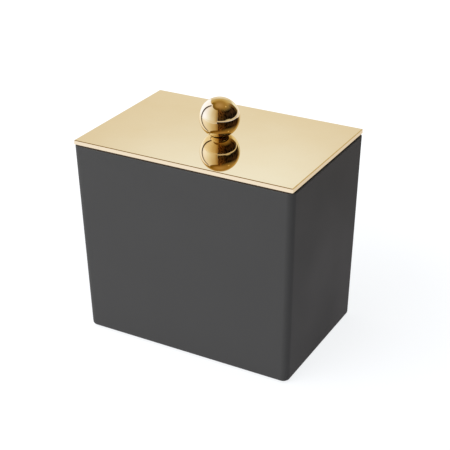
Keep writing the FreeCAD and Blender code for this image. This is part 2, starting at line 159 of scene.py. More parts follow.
def newTree(name, sizes, counts):
    # an empty geometry tree; its named inputs are lengths and angles, whole numbers and a material
    tree = bpy.data.node_groups.new(name, "GeometryNodeTree")
    kinds = [(item, "Float") for item in sizes] + [(item, "Int") for item in counts]
    for item, kind in kinds + [("Material", "Material")]:
        tree.interface.new_socket(item, in_out="INPUT", socket_type="NodeSocket" + kind)
    tree.interface.new_socket("Geometry", in_out="OUTPUT", socket_type="NodeSocketGeometry")
    return tree, addNode(tree, "NodeGroupInput").outputs


def splitRuns(tree, number, run):
    # which run of that length a whole number falls in, and its place in it
    share = addNode(tree, "ShaderNodeMath", {0: number, 1: run}, operation="DIVIDE")
    which = addNode(tree, "ShaderNodeMath", {0: share}, operation="FLOOR")
    return which, addNode(tree, "ShaderNodeMath", {0: number, 1: run}, operation="FLOORED_MODULO")


def gridPlaces(tree, columns, rows):
    # a grid, and the column and the row of each of its points
    grid = addNode(tree, "GeometryNodeMeshGrid", {"Vertices X": columns, "Vertices Y": rows})
    return grid, *splitRuns(tree, addNode(tree, "GeometryNodeInputIndex"), rows)


def arcPlace(tree, bend, radius, hub, level):
    # how far out and how high a point on a rounding is
    across = addNode(tree, "ShaderNodeMath", {0: bend}, operation="COSINE")
    upward = addNode(tree, "ShaderNodeMath", {0: bend}, operation="SINE")
    return (addNode(tree, "ShaderNodeMath", {0: radius, 1: across, 2: hub},
                    operation="MULTIPLY_ADD"),
            addNode(tree, "ShaderNodeMath", {0: radius, 1: upward, 2: level},
                    operation="MULTIPLY_ADD"))


def footPlace():
    # how far the middles of the feet are from the centre
    low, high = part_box("foot_back_right")
    return {"Foot X": (low.x + high.x) / 2, "Foot Y": (low.y + high.y) / 2}


def footCorners(tree, size):
    # a flat face with a corner at the middle of each foot
    wide = addNode(tree, "ShaderNodeMath", {0: size["Foot X"], 1: 2.0}, operation="MULTIPLY")
    deep = addNode(tree, "ShaderNodeMath", {0: size["Foot Y"], 1: 2.0}, operation="MULTIPLY")
    return addNode(tree, "GeometryNodeMeshGrid",
                   {"Size X": wide, "Size Y": deep, "Vertices X": 2, "Vertices Y": 2})


def pickStage(tree, stage, items):
    # one value for each stage of a profile
    pick = addNode(tree, "GeometryNodeIndexSwitch", {"Index": stage}, data_type="FLOAT")
    while len(pick.index_switch_items) < len(items):
        pick.index_switch_items.new()
    for socket, item in zip(pick.inputs[1:], items):
        if isinstance(item, float):
            socket.default_value = item
        else:
            tree.links.new(item.outputs[0] if isinstance(item, bpy.types.Node) else item, socket)
    return pick


def finishTree(tree, geometry, material, sharpAngle):
    # smooth shading with creased edges, instances realised, material set
    smooth = addNode(tree, "GeometryNodeSetShadeSmooth",
                     {"Geometry": geometry, "Shade Smooth": True}, domain="FACE")
    bend = addNode(tree, "GeometryNodeInputMeshEdgeAngle")
    crease = addNode(tree, "FunctionNodeCompare", {0: bend, 1: sharpAngle}, data_type="FLOAT",
                     operation="GREATER_THAN")
    creased = addNode(tree, "GeometryNodeSetShadeSmooth",
                      {"Geometry": smooth, "Selection": crease, "Shade Smooth": False},
                      domain="EDGE")
    whole = addNode(tree, "GeometryNodeRealizeInstances", {"Geometry": creased})
    painted = addNode(tree, "GeometryNodeSetMaterial", {"Geometry": whole, "Material": material})
    addNode(tree, "NodeGroupOutput", {"Geometry": painted})


view = {
    "azimuth": radians(29.027),
    "elevation": radians(27.085),
    "roll": radians(-0.330),
    "distance": 631.154 * mm,
    "target": Vector((2.899, 0, 61.801)) * mm,
    "lens": 91.006,
    "sensor": 36,
    "nearest": 10 * mm,
}


def makeCamera():
    a, e = view["azimuth"], view["elevation"]
    back = Vector((sin(a) * cos(e), -cos(a) * cos(e), sin(e)))
    side = Vector((cos(a), sin(a), 0))
    rise = back.cross(side)
    right = side * cos(view["roll"]) + rise * sin(view["roll"])
    up = rise * cos(view["roll"]) - side * sin(view["roll"])
    data = bpy.data.cameras.new("productCamera")
    data.lens = view["lens"]
    data.sensor_width = view["sensor"]
    data.clip_start = view["nearest"]
    camera = newObject("productCamera", data)
    place = Matrix((right, up, back)).transposed().to_4x4()
    place.translation = view["target"] + back * view["distance"]
    camera.matrix_world = place
    bpy.context.scene.camera = camera


makeCamera()
print("camera set")


# each look: colours, roughness from least to most, and sizes and depths in millimetres
resinLook = {
    "colour": "#484848",
    "shade": "#434343",
    "roughMin": 0.54,
    "roughMax": 0.63,
    "cloud": 38 * mm,
    "cloudLow": 0.3,
    "cloudHigh": 0.7,
    "grit": 0.45 * mm,
    "gritDepth": 0.03 * mm,
    "gritStrength": 0.25,
    "ior": 1.5,
    "shine": 0.13,
}


def castResin():
    # polyresin cast in a silicone mould and rubbed matte: an even charcoal with soft clouds and a
    # fine dry tooth
    look = resinLook
    material, tree = newMaterial("castResinMatte")
    place = addNode(tree, "ShaderNodeTexCoord").outputs["Object"]
    clouds = addNode(tree, "ShaderNodeTexNoise",
                     {"Vector": place, "Scale": 1 / look["cloud"], "Detail": 3.0})
    tooth = addNode(tree, "ShaderNodeTexNoise",
                    {"Vector": place, "Scale": 1 / look["grit"], "Detail": 2.0})
    colour = addNode(tree, "ShaderNodeMix",
                     {0: clouds, 6: linear(look["shade"]), 7: linear(look["colour"])},
                     data_type="RGBA")
    rough = addNode(tree, "ShaderNodeMapRange", {
        "Value": clouds, "From Min": look["cloudLow"], "From Max": look["cloudHigh"],
        "To Min": look["roughMin"], "To Max": look["roughMax"]})
    bump = addNode(tree, "ShaderNodeBump", {
        "Height": tooth, "Strength": look["gritStrength"], "Distance": look["gritDepth"]})
    shader = addNode(tree, "ShaderNodeBsdfPrincipled", {
        "Base Color": colour.outputs[2], "Roughness": rough, "Normal": bump, "IOR": look["ior"],
        "Specular IOR Level": look["shine"]})
    addNode(tree, "ShaderNodeOutputMaterial", {"Surface": shader})
    return material


goldLook = {
    "colour": "#f4ead0",
    "tarnish": "#f1e4c4",
    "edgeTint": "#fffaf0",
    "roughMin": 0.012,
    "roughMax": 0.042,
    "smudge": 16 * mm,
    "smudgeLow": 0.35,
    "smudgeHigh": 0.75,
    "ripple": 24 * mm,
    "rippleDepth": 0.004 * mm,
    "rippleStrength": 0.6,
    "buffing": 0.35 * mm,
    "buffingDepth": 0.0006 * mm,
    "buffingStrength": 0.1,
    "plateGrain": (0.05, 1.0, 1.0),  # the lines are stretched along the plate, and up the ball
    "ballGrain": (1.0, 1.0, 0.05),
}


def polishedGold(name, grain):
    # brass buffed to a mirror and gold plated: clear reflections, faint buffing lines and a
    # slightly uneven sheen
    look = goldLook
    material, tree = newMaterial(name)
    place = addNode(tree, "ShaderNodeTexCoord").outputs["Object"]
    lined = addNode(tree, "ShaderNodeMapping", {"Vector": place, "Scale": look[grain]})
    lines = addNode(tree, "ShaderNodeTexNoise",
                    {"Vector": lined, "Scale": 1 / look["buffing"], "Detail": 2.0})
    smudge = addNode(tree, "ShaderNodeTexNoise",
                     {"Vector": place, "Scale": 1 / look["smudge"], "Detail": 4.0})
    ripple = addNode(tree, "ShaderNodeTexNoise",
                     {"Vector": place, "Scale": 1 / look["ripple"], "Detail": 0.0})
    colour = addNode(tree, "ShaderNodeMix",
                     {0: smudge, 6: linear(look["tarnish"]), 7: linear(look["colour"])},
                     data_type="RGBA")
    rough = addNode(tree, "ShaderNodeMapRange", {
        "Value": smudge, "From Min": look["smudgeLow"], "From Max": look["smudgeHigh"],
        "To Min": look["roughMin"], "To Max": look["roughMax"]})
    wave = addNode(tree, "ShaderNodeBump", {
        "Height": ripple, "Strength": look["rippleStrength"], "Distance": look["rippleDepth"]})
    scratch = addNode(tree, "ShaderNodeBump", {
        "Height": lines, "Strength": look["buffingStrength"], "Distance": look["buffingDepth"],
        "Normal": wave})
    shader = addNode(tree, "ShaderNodeBsdfPrincipled", {
        "Base Color": colour.outputs[2], "Metallic": 1.0, "Roughness": rough, "Normal": scratch,
        "Specular Tint": linear(look["edgeTint"])})
    addNode(tree, "ShaderNodeOutputMaterial", {"Surface": shader})
    return material


mouldedLook = {
    "flow": 20 * mm,
    "roughSpread": 0.08,
    "grainStrength": 0.5,
    "ior": 1.48,
    # darker and paler colour, roughness, and how wide and how deep the grain is
    "insert": ("#1d1d1e", "#262627", 0.48, 0.35 * mm, 0.05 * mm),
    "foot": ("#1b1b1b", "#242423", 0.62, 0.8 * mm, 0.02 * mm),
    # the gasket's warm brown is a painted reflection: a tint standing in for the gold lid mirrored
    # in the gap under it
    "gasket": ("#3a2916", "#4a361d", 0.6, 0.5 * mm, 0.04 * mm),
    "adhesive": ("#b9b3a2", "#c9c4b4", 0.35, 2.5 * mm, 0.02 * mm),
}


def moulded(name, look):
    # ABS, silicone or acrylic film straight from the tool: a grain of the tool's surface over a
    # slightly uneven colour
    dark, pale, roughness, grain, depth = mouldedLook[look]
    spread = mouldedLook["roughSpread"]
    material, tree = newMaterial(name)
    place = addNode(tree, "ShaderNodeTexCoord").outputs["Object"]
    spark = addNode(tree, "ShaderNodeTexVoronoi", {"Vector": place, "Scale": 1 / grain},
                    feature="SMOOTH_F1")
    flow = addNode(tree, "ShaderNodeTexNoise",
                   {"Vector": place, "Scale": 1 / mouldedLook["flow"], "Detail": 3.0})
    colour = addNode(tree, "ShaderNodeMix", {0: flow, 6: linear(dark), 7: linear(pale)},
                     data_type="RGBA")
    rough = addNode(tree, "ShaderNodeMapRange", {
        "Value": flow, "To Min": roughness - spread, "To Max": roughness + spread})
    bump = addNode(tree, "ShaderNodeBump", {
        "Height": spark.outputs["Distance"], "Strength": mouldedLook["grainStrength"],
        "Distance": depth})
    shader = addNode(tree, "ShaderNodeBsdfPrincipled", {
        "Base Color": colour.outputs[2], "Roughness": rough, "Normal": bump,
        "IOR": mouldedLook["ior"]})
    addNode(tree, "ShaderNodeOutputMaterial", {"Surface": shader})
    return material


zincLook = {
    "colour": "#c3c6ca",
    "warm": "#cfc9bb",
    "roughMin": 0.22,
    "roughMax": 0.36,
    "spangle": 1.2 * mm,
}


def zincPlate():
    # bright zinc on steel: a cool satin metal with small patches of straw-coloured passivation
    look = zincLook
    material, tree = newMaterial("zincPlatedSteel")
    place = addNode(tree, "ShaderNodeTexCoord").outputs["Object"]
    patch = addNode(tree, "ShaderNodeTexNoise",
                    {"Vector": place, "Scale": 1 / look["spangle"], "Detail": 3.0})
    colour = addNode(tree, "ShaderNodeMix",
                     {0: patch, 6: linear(look["colour"]), 7: linear(look["warm"])},
                     data_type="RGBA")
    rough = addNode(tree, "ShaderNodeMapRange", {
        "Value": patch, "To Min": look["roughMin"], "To Max": look["roughMax"]})
    shader = addNode(tree, "ShaderNodeBsdfPrincipled", {
        "Base Color": colour.outputs[2], "Metallic": 1.0, "Roughness": rough})
    addNode(tree, "ShaderNodeOutputMaterial", {"Surface": shader})
    return material


resin = castResin()
plateGold = polishedGold("goldPlatedSheet", "plateGrain")
ballGold = polishedGold("goldPlatedBall", "ballGrain")
zinc = zincPlate()
footSilicone = moulded("siliconeFootGrip", "foot")
print("materials made")


# the tub: four edge radii swept round a rounded rectangle whose walls lean with the draft; the
# sizes with a capital are the tree's inputs, here and in the screw and the feet
tub = {
    "Draft": radians(1.2),
    "Corner": 4 * mm,
    "Wall": 4.6 * mm,
    "Base": 6 * mm,
    "Mouth Corner": 5 * mm,
    "Base Edge": 2 * mm,
    "Rim Edge": 0.5 * mm,
    "Mouth Edge": 0.8 * mm,
    "Floor Edge": 3 * mm,
    "Recess Radius": 5.3 * mm,
    "Recess Depth": 1.1 * mm,
    "Corner Steps": 12,
    "Edge Steps": 8,
    "recessColumns": 64,
    "crease": radians(40),
}


def tubTree():
    tree, size = newTree("mouldedTub", (
        "Length", "Depth", "Underside", "Top", "Draft", "Corner", "Wall", "Base", "Mouth Corner",
        "Base Edge", "Rim Edge", "Mouth Edge", "Floor Edge", "Recess Radius", "Recess Depth",
        "Foot X", "Foot Y"), ("Corner Steps", "Edge Steps"))

    # columns go round the four corners, rows go up the outside, over the rim and down to the floor
    cornerRun = addNode(tree, "ShaderNodeMath", {0: size["Corner Steps"], 1: 1.0}, operation="ADD")
    edgeRun = addNode(tree, "ShaderNodeMath", {0: size["Edge Steps"], 1: 1.0}, operation="ADD")
    columns = addNode(tree, "ShaderNodeMath", {0: cornerRun, 1: 4.0, 2: 1.0},
                      operation="MULTIPLY_ADD")
    rows = addNode(tree, "ShaderNodeMath", {0: edgeRun, 1: 4.0, 2: 2.0}, operation="MULTIPLY_ADD")
    grid, column, row = gridPlaces(tree, columns, rows)

    # the first and last rows are the centres of the underside and of the floor
    lastRow = addNode(tree, "ShaderNodeMath", {0: edgeRun, 1: 4.0}, operation="MULTIPLY")
    held = addNode(tree, "ShaderNodeClamp", {"Value": row, "Min": 1.0, "Max": lastRow})
    keep = addNode(tree, "ShaderNodeMath", {0: row, 1: held, 2: 0.5}, operation="COMPARE")
    stepIn = addNode(tree, "ShaderNodeMath", {0: held, 1: 1.0}, operation="SUBTRACT")
    edge, edgeStep = splitRuns(tree, stepIn, edgeRun)
    along = addNode(tree, "ShaderNodeMath", {0: edgeStep, 1: size["Edge Steps"]},
                    operation="DIVIDE")

    # per edge, in order base, rim, mouth, floor
    floorLevel = addNode(tree, "ShaderNodeMath", {0: size["Underside"], 1: size["Base"]},
                         operation="ADD")
    wallDown = addNode(tree, "ShaderNodeMath", {0: size["Draft"], 1: -1.0}, operation="MULTIPLY")
    wallBack = addNode(tree, "ShaderNodeMath", {0: pi, 1: size["Draft"]}, operation="SUBTRACT")
    picks = {name: pickStage(tree, edge, items) for name, items in {
        "radius": (size["Base Edge"], size["Rim Edge"], size["Mouth Edge"], size["Floor Edge"]),
        "level": (size["Underside"], size["Top"], size["Top"], floorLevel),
        "lift": (1.0, -1.0, -1.0, 1.0),
        "inner": (0.0, 0.0, 1.0, 1.0),
        "bulge": (-1.0, -1.0, 1.0, -1.0),
        "from": (-pi / 2, wallDown, pi / 2, wallDown),
        "to": (wallDown, pi / 2, wallBack, -pi / 2),
    }.items()}
    centreZ = addNode(tree, "ShaderNodeMath",
                      {0: picks["radius"], 1: picks["lift"], 2: picks["level"]},
                      operation="MULTIPLY_ADD")
    corner = addNode(tree, "ShaderNodeMix",
                     {0: picks["inner"], 2: size["Corner"], 3: size["Mouth Corner"]},
                     data_type="FLOAT")
    slope = addNode(tree, "ShaderNodeMath", {0: size["Draft"]}, operation="TANGENT")
    drop = addNode(tree, "ShaderNodeMath", {0: size["Top"], 1: centreZ}, operation="SUBTRACT")
    leanIn = addNode(tree, "ShaderNodeMath", {0: drop, 1: slope, 2: corner},
                     operation="MULTIPLY_ADD")
    inset = addNode(tree, "ShaderNodeMath", {0: picks["inner"], 1: size["Wall"], 2: leanIn},
                    operation="MULTIPLY_ADD")
    upright = addNode(tree, "ShaderNodeMath", {0: size["Draft"]}, operation="COSINE")
    slant = addNode(tree, "ShaderNodeMath", {0: picks["radius"], 1: upright}, operation="DIVIDE")
    hubRadius = addNode(tree, "ShaderNodeMath", {0: slant, 1: picks["bulge"], 2: corner},
                        operation="MULTIPLY_ADD")

    # round each edge
    turn = addNode(tree, "ShaderNodeMix", {0: along, 2: picks["from"], 3: picks["to"]},
                   data_type="FLOAT", clamp_factor=False)
    ringRadius, height = arcPlace(tree, turn, picks["radius"], hubRadius, centreZ)

    # round each corner
    quarter, cornerStep = splitRuns(tree, column, cornerRun)
    inCorner = addNode(tree, "ShaderNodeMath", {0: cornerStep, 1: size["Corner Steps"]},
                       operation="DIVIDE")
    quarters = addNode(tree, "ShaderNodeMath", {0: quarter, 1: inCorner}, operation="ADD")
    heading = addNode(tree, "ShaderNodeMath", {0: quarters, 1: pi / 2}, operation="MULTIPLY")
    halfway = addNode(tree, "ShaderNodeMath", {0: quarter, 1: 0.5}, operation="ADD")
    diagonal = addNode(tree, "ShaderNodeMath", {0: halfway, 1: pi / 2}, operation="MULTIPLY")
    place = {}
    for axis, length, wave in (("x", "Length", "COSINE"), ("y", "Depth", "SINE")):
        outward = addNode(tree, "ShaderNodeMath", {0: diagonal}, operation=wave)
        side = addNode(tree, "ShaderNodeMath", {0: outward}, operation="SIGN")
        half = addNode(tree, "ShaderNodeMath", {0: size[length], 1: 0.5}, operation="MULTIPLY")
        straight = addNode(tree, "ShaderNodeMath", {0: half, 1: inset}, operation="SUBTRACT")
        hub = addNode(tree, "ShaderNodeMath", {0: side, 1: straight}, operation="MULTIPLY")
        swing = addNode(tree, "ShaderNodeMath", {0: heading}, operation=wave)
        reach = addNode(tree, "ShaderNodeMath", {0: ringRadius, 1: swing, 2: hub},
                        operation="MULTIPLY_ADD")
        place[axis] = addNode(tree, "ShaderNodeMath", {0: reach, 1: keep}, operation="MULTIPLY")
    point = addNode(tree, "ShaderNodeCombineXYZ", {"X": place["x"], "Y": place["y"], "Z": height})
    skin = addNode(tree, "GeometryNodeSetPosition", {"Geometry": grid, "Position": point})
    skin = addNode(tree, "GeometryNodeMergeByDistance", {"Geometry": skin, "Distance": weld})

    # four blind recesses under the base take the feet
    under = addNode(tree, "ShaderNodeCombineXYZ", {"Z": size["Underside"]})
    lowered = addNode(tree, "GeometryNodeSetPosition",
                      {"Geometry": footCorners(tree, size), "Offset": under})
    points = addNode(tree, "GeometryNodeMeshToPoints", {"Mesh": lowered})
    depth = addNode(tree, "ShaderNodeMath", {0: size["Recess Depth"], 1: 2.0}, operation="MULTIPLY")
    cutter = addNode(tree, "GeometryNodeMeshCylinder", {
        "Vertices": tub["recessColumns"], "Radius": size["Recess Radius"], "Depth": depth})
    cutters = addNode(tree, "GeometryNodeInstanceOnPoints", {"Points": points, "Instance": cutter})
    cutters = addNode(tree, "GeometryNodeRealizeInstances", {"Geometry": cutters})
    shell = addNode(tree, "GeometryNodeMeshBoolean", {"Mesh 1": skin, "Mesh 2": cutters},
                    operation="DIFFERENCE", solver="EXACT")
    finishTree(tree, shell, size["Material"], tub["crease"])
    return tree


def makeTub():
    low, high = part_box("tub")
    values = dict(tub, Length=high.x - low.x, Depth=high.y - low.y, Underside=low.z, Top=high.z,
                  Material=resin, **footPlace())
    piece = weighNormals(growPiece("tubShell", tubTree(), values))
    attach(piece, "tub")
    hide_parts("tub")
    print("tub:", len(piece.data.polygons), "faces")


makeTub()


lid = {
    "corner": 0.6 * mm,
    "arrisIn": 0.45 * mm,
    "arrisDown": 0.24 * mm,
    "arrisShape": ((1, 0), (0.9, 0.05), (0.05, 0.9), (0, 1)),  # shares of arrisIn and arrisDown
    "hole": 2.2 * mm,
    "columns": 64,
}


def makeLidPlate():
    low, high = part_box("lid_plate")
    halfX, halfY = (high.x - low.x) / 2, (high.y - low.y) / 2
    r, wide, deep, hole = lid["corner"], lid["arrisIn"], lid["arrisDown"], lid["hole"]
    # a flat arris with both its edges just broken
    profile = [(wide * across, deep * down) for across, down in lid["arrisShape"]]
    rows = [(0, 0, hole, high.z), (0, 0, hole, low.z)]
    rows += [(halfX - r, halfY - r, r - inward, low.z + drop) for inward, drop in profile]
    rows += [(halfX - r, halfY - r, r - inward, high.z - drop)
             for inward, drop in reversed(profile)]
    rows.append(rows[0])
    piece = weighNormals(ringPiece("lidPlate", turnRings(rows, lid["columns"]), plateGold))
    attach(piece, "lid")
    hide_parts("lid_plate")
    print("lid plate:", len(piece.data.polygons), "faces")


makeLidPlate()


knob = {
    "seat": 4.7 * mm,
    "holeRadius": 2.05 * mm,
    "holeDepth": 9 * mm,
    "columns": 160,
    "rings": 80,
}


def makeKnob():
    low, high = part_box("knob")
    radius = (high.x - low.x) / 2
    centre = high.z - radius
    start = -sqrt(radius ** 2 - knob["seat"] ** 2)
    tip = low.z + knob["holeDepth"]
    rows = [(0, 0, 0, tip), (0, 0, knob["holeRadius"], tip), (0, 0, knob["holeRadius"], low.z),
            (0, 0, knob["seat"], low.z)]
    first = Vector((knob["seat"], start)).angle(Vector((0, -1)))
    for i in range(1, knob["rings"]):
        polar = first + (pi - first) * i / knob["rings"]
        rows.append((0, 0, radius * sin(polar), centre - radius * cos(polar)))
    rows.append((0, 0, 0, high.z))
    piece = ringPiece("ballKnob", turnRings(rows, knob["columns"]), ballGold)
    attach(piece, "lid")
    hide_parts("knob")
    print("knob:", len(piece.data.polygons), "faces")


makeKnob()


def latheGrid(tree, columns, rows):
    # a grid whose columns go once round the z axis and whose rows follow a profile, with each
    # point's row, share of the turn and angle
    wide = addNode(tree, "ShaderNodeMath", {0: columns, 1: 1.0}, operation="ADD")
    grid, column, row = gridPlaces(tree, wide, rows)
    share = addNode(tree, "ShaderNodeMath", {0: column, 1: columns}, operation="DIVIDE")
    angle = addNode(tree, "ShaderNodeMath", {0: share, 1: 2 * pi}, operation="MULTIPLY")
    return grid, row, share, angle


def latheSkin(tree, grid, angle, radius, height):
    # puts the grid's points at their radius and height and closes its seam and poles
    x, y = arcPlace(tree, angle, radius, 0.0, 0.0)
    point = addNode(tree, "ShaderNodeCombineXYZ", {"X": x, "Y": y, "Z": height})
    skin = addNode(tree, "GeometryNodeSetPosition", {"Geometry": grid, "Position": point})
    return addNode(tree, "GeometryNodeMergeByDistance", {"Geometry": skin, "Distance": weld})


# the screw comes up through the insert and the plate into the knob: 4 mm machine screw, button
# head, hexagon socket
screw = {
    "Head Radius": 3.8 * mm,
    "Head Height": 2.2 * mm,
    "Rounding": 1.6 * mm,
    "Socket Across": 2.5 * mm,
    "Socket Depth": 1.3 * mm,
    "Crest": 2.0 * mm,
    "Root": 1.6 * mm,
    "Pitch": 0.7 * mm,
    "Point": 0.4 * mm,
    "Columns": 48,
    "Thread Rows": 150,
    "Round Steps": 8,
    "rootEnd": 0.12,  # where the flank starts and ends, in pitches from the middle of the root
    "crestStart": 0.42,
    "crease": radians(38),
}


def screwTree():
    tree, size = newTree("threadedScrew", (
        "Bottom", "Top", "Head Radius", "Head Height", "Rounding", "Socket Across", "Socket Depth",
        "Crest", "Root", "Pitch", "Point"), ("Columns", "Thread Rows", "Round Steps"))
    headTop = addNode(tree, "ShaderNodeMath", {0: size["Bottom"], 1: size["Head Height"]},
                      operation="ADD")

    # the threaded shank: the first and last rows are its poles
    rows = addNode(tree, "ShaderNodeMath", {0: size["Thread Rows"], 1: 2.0}, operation="ADD")
    grid, row, share, angle = latheGrid(tree, size["Columns"], rows)
    held = addNode(tree, "ShaderNodeClamp", {"Value": row, "Min": 1.0, "Max": size["Thread Rows"]})
    keep = addNode(tree, "ShaderNodeMath", {0: row, 1: held, 2: 0.5}, operation="COMPARE")
    height = addNode(tree, "ShaderNodeMapRange", {
        "Value": held, "From Min": 1.0, "From Max": size["Thread Rows"],
        "To Min": headTop, "To Max": size["Top"]})
    climb = addNode(tree, "ShaderNodeMath", {0: height, 1: size["Pitch"]}, operation="DIVIDE")
    phase = addNode(tree, "ShaderNodeMath", {0: climb, 1: share}, operation="SUBTRACT")
    flank = addNode(tree, "ShaderNodeMath", {0: phase, 1: 0.5}, operation="PINGPONG")
    cut = addNode(tree, "ShaderNodeMapRange", {
        "Value": flank, "From Min": screw["rootEnd"], "From Max": screw["crestStart"],
        "To Min": size["Root"], "To Max": size["Crest"]})
    left = addNode(tree, "ShaderNodeMath", {0: size["Top"], 1: height}, operation="SUBTRACT")
    tip = addNode(tree, "ShaderNodeMath", {0: size["Crest"], 1: size["Point"]},
                  operation="SUBTRACT")
    cone = addNode(tree, "ShaderNodeMath", {0: left, 1: tip}, operation="ADD")
    bound = addNode(tree, "ShaderNodeMath", {0: cut, 1: cone}, operation="MINIMUM")
    radius = addNode(tree, "ShaderNodeMath", {0: bound, 1: keep}, operation="MULTIPLY")
    shank = latheSkin(tree, grid, angle, radius, height)

    # the head: socket floor, socket wall, face, rounding, edge, top
    rows = addNode(tree, "ShaderNodeMath", {0: size["Round Steps"], 1: 6.0}, operation="ADD")
    grid, row, _, angle = latheGrid(tree, size["Columns"], rows)
    opening = addNode(tree, "ShaderNodeMath", {0: row, 1: 3.0}, operation="MINIMUM")
    past = addNode(tree, "ShaderNodeMath", {0: row, 1: 3.0}, operation="SUBTRACT")
    beyond = addNode(tree, "ShaderNodeMath", {0: past, 1: size["Round Steps"]},
                     operation="SUBTRACT")
    closing = addNode(tree, "ShaderNodeClamp", {"Value": beyond, "Min": 0.0, "Max": 2.0})
    stage = addNode(tree, "ShaderNodeMath", {0: opening, 1: closing}, operation="ADD")
    rounded = addNode(tree, "ShaderNodeMath", {0: past, 1: size["Round Steps"]}, operation="DIVIDE")
    bend = addNode(tree, "ShaderNodeMapRange", {"Value": rounded, "To Min": -pi / 2, "To Max": 0.0})
    hub = addNode(tree, "ShaderNodeMath", {0: size["Head Radius"], 1: size["Rounding"]},
                  operation="SUBTRACT")
    arcCentre = addNode(tree, "ShaderNodeMath", {0: size["Bottom"], 1: size["Rounding"]},
                        operation="ADD")
    arcRadius, arcHeight = arcPlace(tree, bend, size["Rounding"], hub, arcCentre)

    # how far out the socket's six flats are in each direction
    flatTurn = pi / 3
    turned = addNode(tree, "ShaderNodeMath", {0: angle, 1: flatTurn / 2}, operation="ADD")
    side = addNode(tree, "ShaderNodeMath", {0: turned, 1: flatTurn}, operation="FLOORED_MODULO")
    across = addNode(tree, "ShaderNodeMath", {0: side, 1: flatTurn / 2}, operation="SUBTRACT")
    flat = addNode(tree, "ShaderNodeMath", {0: size["Socket Across"], 1: 0.5}, operation="MULTIPLY")
    facing = addNode(tree, "ShaderNodeMath", {0: across}, operation="COSINE")
    hexagon = addNode(tree, "ShaderNodeMath", {0: flat, 1: facing}, operation="DIVIDE")

    socketFloor = addNode(tree, "ShaderNodeMath", {0: size["Bottom"], 1: size["Socket Depth"]},
                          operation="ADD")
    radius = pickStage(tree, stage, (0.0, hexagon, hexagon, arcRadius, size["Head Radius"], 0.0))
    height = pickStage(tree, stage, (
        socketFloor, socketFloor, size["Bottom"], arcHeight, headTop, headTop))
    head = latheSkin(tree, grid, angle, radius, height)
    both = addNode(tree, "GeometryNodeJoinGeometry")
    tree.links.new(head.outputs[0], both.inputs[0])
    tree.links.new(shank.outputs[0], both.inputs[0])
    finishTree(tree, both, size["Material"], screw["crease"])
    return tree


def makeScrew():
    low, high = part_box("knob_screw")
    values = dict(screw, Bottom=low.z, Top=high.z, Material=zinc)
    piece = growPiece("knobScrew", screwTree(), values)
    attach(piece, "lid")
    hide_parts("knob_screw")
    print("screw:", len(piece.data.polygons), "faces")


makeScrew()


# a foot is a moulded button with concentric grip rings underneath
gripFoot = {
    "Edge": 0.5 * mm,
    "Top Edge": 0.2 * mm,
    "Ring Pitch": 1.5 * mm,
    "Ring Depth": 0.3 * mm,
    "Columns": 48,
    "Under Rows": 36,
    "Round Steps": 6,
    "ringFoot": 0.12,  # where a ring's side starts and ends, in pitches from the middle of a ring
    "ringTop": 0.40,
    "crease": radians(50),
}


def footTree():
    tree, size = newTree("gripFeet", (
        "Radius", "Top", "Edge", "Top Edge", "Ring Pitch", "Ring Depth", "Foot X", "Foot Y"),
        ("Columns", "Under Rows", "Round Steps"))

    # the profile: ringed underside from the centre out, rounding, side, top edge, top centre
    turns = addNode(tree, "ShaderNodeMath", {0: size["Under Rows"], 1: size["Round Steps"]},
                    operation="ADD")
    rows = addNode(tree, "ShaderNodeMath", {0: turns, 1: 4.0}, operation="ADD")
    grid, row, _, angle = latheGrid(tree, size["Columns"], rows)
    past = addNode(tree, "ShaderNodeMath", {0: row, 1: size["Under Rows"]}, operation="SUBTRACT")
    opening = addNode(tree, "ShaderNodeClamp", {"Value": past, "Min": 0.0, "Max": 1.0})
    beyond = addNode(tree, "ShaderNodeMath", {0: past, 1: size["Round Steps"]},
                     operation="SUBTRACT")
    closing = addNode(tree, "ShaderNodeClamp", {"Value": beyond, "Min": 0.0, "Max": 3.0})
    stage = addNode(tree, "ShaderNodeMath", {0: opening, 1: closing}, operation="ADD")
    hub = addNode(tree, "ShaderNodeMath", {0: size["Radius"], 1: size["Edge"]},
                  operation="SUBTRACT")
    underRadius = addNode(tree, "ShaderNodeMapRange",
                          {"Value": row, "From Min": 0.0, "From Max": size["Under Rows"],
                           "To Min": 0.0, "To Max": hub})
    wave = addNode(tree, "ShaderNodeMath", {0: underRadius, 1: size["Ring Pitch"]},
                   operation="DIVIDE")
    groove = addNode(tree, "ShaderNodeMath", {0: wave, 1: 0.5}, operation="PINGPONG")
    underHeight = addNode(tree, "ShaderNodeMapRange", {
        "Value": groove, "From Min": gripFoot["ringFoot"], "From Max": gripFoot["ringTop"],
        "To Min": 0.0, "To Max": size["Ring Depth"]}, interpolation_type="SMOOTHSTEP")
    bend = addNode(tree, "ShaderNodeMapRange", {
        "Value": past, "From Min": 0.0, "From Max": size["Round Steps"],
        "To Min": -pi / 2, "To Max": 0.0})
    arcRadius, arcHeight = arcPlace(tree, bend, size["Edge"], hub, size["Edge"])
    shoulder = addNode(tree, "ShaderNodeMath", {0: size["Top"], 1: size["Top Edge"]},
                       operation="SUBTRACT")
    topRadius = addNode(tree, "ShaderNodeMath", {0: size["Radius"], 1: size["Top Edge"]},
                        operation="SUBTRACT")
    radius = pickStage(tree, stage, (underRadius, arcRadius, size["Radius"], topRadius, 0.0))
    height = pickStage(tree, stage, (underHeight, arcHeight, shoulder, size["Top"], size["Top"]))
    foot = latheSkin(tree, grid, angle, radius, height)

    points = addNode(tree, "GeometryNodeMeshToPoints", {"Mesh": footCorners(tree, size)})
    feet = addNode(tree, "GeometryNodeInstanceOnPoints", {"Points": points, "Instance": foot})
    whole = addNode(tree, "GeometryNodeRealizeInstances", {"Geometry": feet})
    finishTree(tree, whole, size["Material"], gripFoot["crease"])
    return tree


